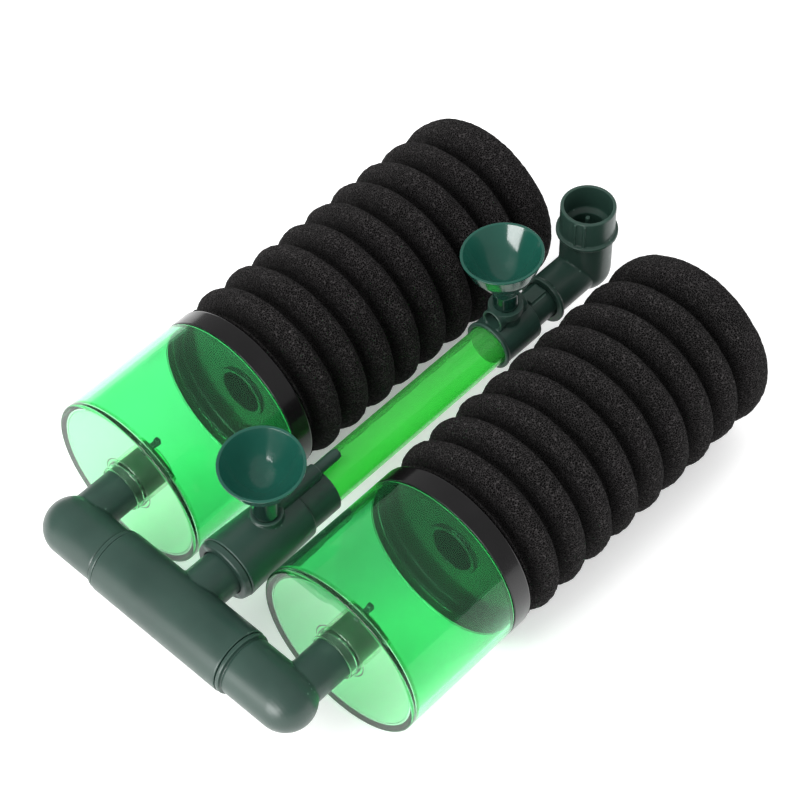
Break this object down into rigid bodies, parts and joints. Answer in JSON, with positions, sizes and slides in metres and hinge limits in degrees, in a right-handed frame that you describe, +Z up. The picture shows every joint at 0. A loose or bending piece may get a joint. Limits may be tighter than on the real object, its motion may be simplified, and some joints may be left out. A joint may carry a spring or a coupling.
{
  "type": "double sponge filter",
  "caption": "Air-driven aquarium filter with ribbed foam sponges and clear media cups side by side on a T-shaped manifold, a lift tube with an outlet, and suction cups.",
  "frame": {"origin": "middle of the bounding box in plan, on the surface under the sponges", "axes": "+Z up, away from the surface and towards the suction cup rims; +Y along the lift tube towards the outlet; +X along the manifold towards the right-hand sponge"},
  "size_m": [0.1732, 0.234, 0.0778],
  "materials": {
    "dark_plastic": "moulded dark green plastic with a satin surface",
    "clear_plastic": "clear tinted plastic, polished",
    "tube_plastic": "clear saturated green tube",
    "black_plastic": "moulded black plastic, satin",
    "foam": "open-cell foam with fine pores",
    "soft_rubber": "translucent soft rubber, glossy"
  },
  "bodies": {
    "manifold": {"manifold_tee": "dark_plastic", "coupling_ring": "dark_plastic", "riser_coupling": "dark_plastic", "air_barb": "dark_plastic", "air_jet": "dark_plastic", "lift_tube": "tube_plastic"},
    "arm_left": {"elbow_left": "dark_plastic"},
    "cup_left": {"media_cup_left": "clear_plastic"},
    "lid_left": {"cup_lid_left": "black_plastic", "sponge_core_left": "black_plastic", "core_cap_left": "black_plastic"},
    "foam_left": {"sponge_left": "foam"},
    "arm_right": {"elbow_right": "dark_plastic"},
    "cup_right": {"media_cup_right": "clear_plastic"},
    "lid_right": {"cup_lid_right": "black_plastic", "sponge_core_right": "black_plastic", "core_cap_right": "black_plastic"},
    "foam_right": {"sponge_right": "foam"},
    "holder": {"tube_holder": "dark_plastic"},
    "outlet": {"outlet_elbow": "dark_plastic"},
    "nozzle": {"outlet_nozzle": "dark_plastic"},
    "sucker_lower": {"suction_cup_lower": "soft_rubber"},
    "sucker_upper": {"suction_cup_upper": "soft_rubber"}
  },
  "joints": [
    {"name": "arm_left_swing", "type": "hinge", "parent": "manifold", "child": "arm_left", "pos_m": [-0.051, -0.10475, 0.0356], "axis": [1, 0, 0], "range_deg": [-90, 90]},
    {"name": "cup_left_turn", "type": "hinge", "parent": "arm_left", "child": "cup_left", "pos_m": [-0.051, -0.07545, 0.0356], "axis": [0, 1, 0], "continuous": true},
    {"name": "lid_left_pull", "type": "slide", "parent": "cup_left", "child": "lid_left", "axis": [0, 1, 0], "range_m": [0, 0.012]},
    {"name": "foam_left_pull", "type": "slide", "parent": "lid_left", "child": "foam_left", "axis": [0, 1, 0], "range_m": [0, 0.12]},
    {"name": "arm_right_swing", "type": "hinge", "parent": "manifold", "child": "arm_right", "pos_m": [0.051, -0.10475, 0.0356], "axis": [1, 0, 0], "range_deg": [-90, 90]},
    {"name": "cup_right_turn", "type": "hinge", "parent": "arm_right", "child": "cup_right", "pos_m": [0.051, -0.07545, 0.0356], "axis": [0, 1, 0], "continuous": true},
    {"name": "lid_right_pull", "type": "slide", "parent": "cup_right", "child": "lid_right", "axis": [0, 1, 0], "range_m": [0, 0.012]},
    {"name": "foam_right_pull", "type": "slide", "parent": "lid_right", "child": "foam_right", "axis": [0, 1, 0], "range_m": [0, 0.12]},
    {"name": "holder_slide", "type": "slide", "parent": "manifold", "child": "holder", "axis": [0, 1, 0], "range_m": [0, 0.012]},
    {"name": "outlet_swivel", "type": "hinge", "parent": "holder", "child": "outlet", "pos_m": [0, 0.08655, 0.0356], "axis": [0, 1, 0], "range_deg": [-20, 20]},
    {"name": "nozzle_turn", "type": "hinge", "parent": "outlet", "child": "nozzle", "pos_m": [0, 0.10555, 0.0516], "axis": [0, 0, 1], "continuous": true},
    {"name": "sucker_lower_pull", "type": "slide", "parent": "manifold", "child": "sucker_lower", "axis": [0, 0, 1], "range_m": [0, 0.008]},
    {"name": "sucker_upper_pull", "type": "slide", "parent": "holder", "child": "sucker_upper", "axis": [0, 0, 1], "range_m": [0, 0.008]}
  ]
}
